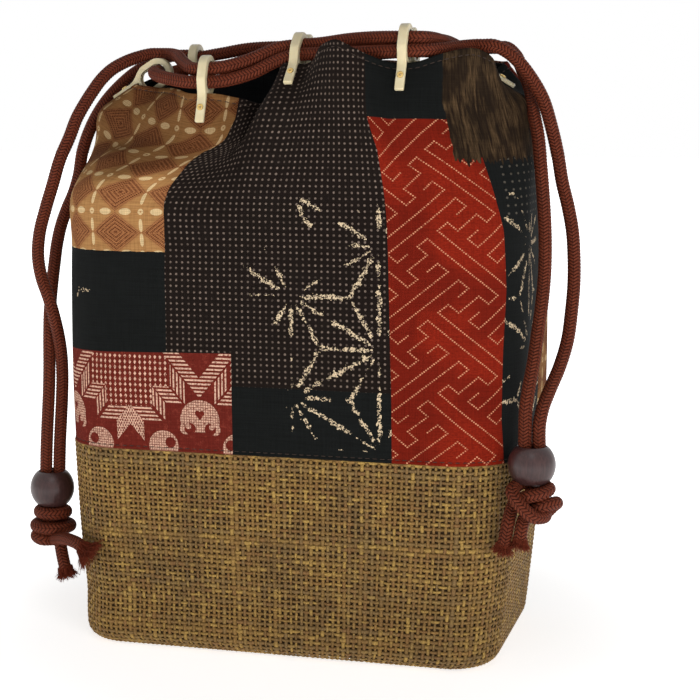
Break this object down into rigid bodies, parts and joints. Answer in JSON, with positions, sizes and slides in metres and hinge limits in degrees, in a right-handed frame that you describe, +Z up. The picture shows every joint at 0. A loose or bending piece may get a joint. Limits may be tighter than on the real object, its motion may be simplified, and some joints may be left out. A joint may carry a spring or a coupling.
{
  "type": "drawstring bag",
  "caption": "Patchwork cloth drawstring bag on a stiff woven base band, with braided cords running through riveted tabs, wooden cord beads and knotted, frayed cord ends",
  "frame": {"origin": "middle of the base, on the surface that the bag stands on", "axes": "+Z up, the front towards -Y, +X to the right of someone facing the front"},
  "size_m": [0.2422, 0.1162, 0.2651],
  "materials": {
    "printed_cotton": "printed patchwork cotton with woven and dyed patterns",
    "woven_mat": "coarse open weave of glossy straw-brown yarn",
    "black_lining": "plain black lining cotton",
    "stiff_board": "stiff base board",
    "ivory_plastic": "smooth ivory plastic with soft edges",
    "brass": "small hollow brass rivet",
    "dark_wood": "polished dark wood with fine grain",
    "braided_cord": "round braided cord with a chevron lay"
  },
  "bodies": {
    "sack": {"front_panel": "printed_cotton", "back_panel": "printed_cotton", "woven_band": "woven_mat", "woven_base": "woven_mat", "base_board": "stiff_board", "lining": "black_lining", "left_cord_round_mouth": "braided_cord", "right_cord_round_mouth": "braided_cord"},
    "left_tab": {"left_tab": "ivory_plastic", "left_rivet": "brass"},
    "front_left_tab": {"front_left_tab": "ivory_plastic", "front_left_rivet": "brass"},
    "front_middle_tab": {"front_middle_tab": "ivory_plastic", "front_middle_rivet": "brass"},
    "front_right_tab": {"front_right_tab": "ivory_plastic", "front_right_rivet": "brass"},
    "right_tab": {"right_tab": "ivory_plastic", "right_rivet": "brass"},
    "back_right_tab": {"back_right_tab": "ivory_plastic", "back_right_rivet": "brass"},
    "back_middle_tab": {"back_middle_tab": "ivory_plastic", "back_middle_rivet": "brass"},
    "back_left_tab": {"back_left_tab": "ivory_plastic", "back_left_rivet": "brass"},
    "left_handle": {"left_cord_front_run": "braided_cord", "left_cord_back_run": "braided_cord", "left_knot": "braided_cord"},
    "left_bead": {"left_bead": "dark_wood"},
    "right_handle": {"right_cord_front_run": "braided_cord", "right_cord_back_run": "braided_cord", "right_knot": "braided_cord"},
    "right_bead": {"right_bead": "dark_wood"}
  },
  "joints": [
    {"name": "left_tab_swivel", "type": "hinge", "parent": "sack", "child": "left_tab", "pos_m": [-0.08018, -0.00802, 0.23612], "axis": [-0.5299, 0, 0.848], "range_deg": [-6, 6]},
    {"name": "front_left_tab_swivel", "type": "hinge", "parent": "sack", "child": "front_left_tab", "pos_m": [-0.03296, -0.04414, 0.22974], "axis": [0, -0.9336, 0.3584], "range_deg": [-6, 6]},
    {"name": "front_middle_tab_swivel", "type": "hinge", "parent": "sack", "child": "front_middle_tab", "pos_m": [0.00503, -0.04232, 0.24334], "axis": [0, -0.682, 0.7314], "range_deg": [-6, 6]},
    {"name": "front_right_tab_swivel", "type": "hinge", "parent": "sack", "child": "front_right_tab", "pos_m": [0.05196, -0.04657, 0.24239], "axis": [0, -0.8988, 0.4384], "range_deg": [-6, 6]},
    {"name": "right_tab_swivel", "type": "hinge", "parent": "sack", "child": "right_tab", "pos_m": [0.084, -0.00498, 0.24093], "axis": [0.5299, 0, 0.848], "range_deg": [-6, 6]},
    {"name": "back_right_tab_swivel", "type": "hinge", "parent": "sack", "child": "back_right_tab", "pos_m": [0.03849, 0.03954, 0.2448], "axis": [0, 0.8191, 0.5736], "range_deg": [-6, 6]},
    {"name": "back_middle_tab_swivel", "type": "hinge", "parent": "sack", "child": "back_middle_tab", "pos_m": [-0.00905, 0.03951, 0.24308], "axis": [0, 0.766, 0.6428], "range_deg": [-6, 6]},
    {"name": "back_left_tab_swivel", "type": "hinge", "parent": "sack", "child": "back_left_tab", "pos_m": [-0.061, 0.03548, 0.23736], "axis": [0, 0.866, 0.5], "range_deg": [-6, 6]},
    {"name": "left_handle_lift", "type": "hinge", "parent": "sack", "child": "left_handle", "pos_m": [-0.068, 0, 0.25615], "axis": [0, 1, 0], "range_deg": [0, 150]},
    {"name": "right_handle_lift", "type": "hinge", "parent": "sack", "child": "right_handle", "pos_m": [0.08, 0, 0.25835], "axis": [0, -1, 0], "range_deg": [0, 150]},
    {"name": "left_bead_slide", "type": "slide", "parent": "left_handle", "child": "left_bead", "axis": [0, 0, 1], "range_m": [0, 0.03]},
    {"name": "right_bead_slide", "type": "slide", "parent": "right_handle", "child": "right_bead", "axis": [0, 0, 1], "range_m": [0, 0.008]}
  ]
}
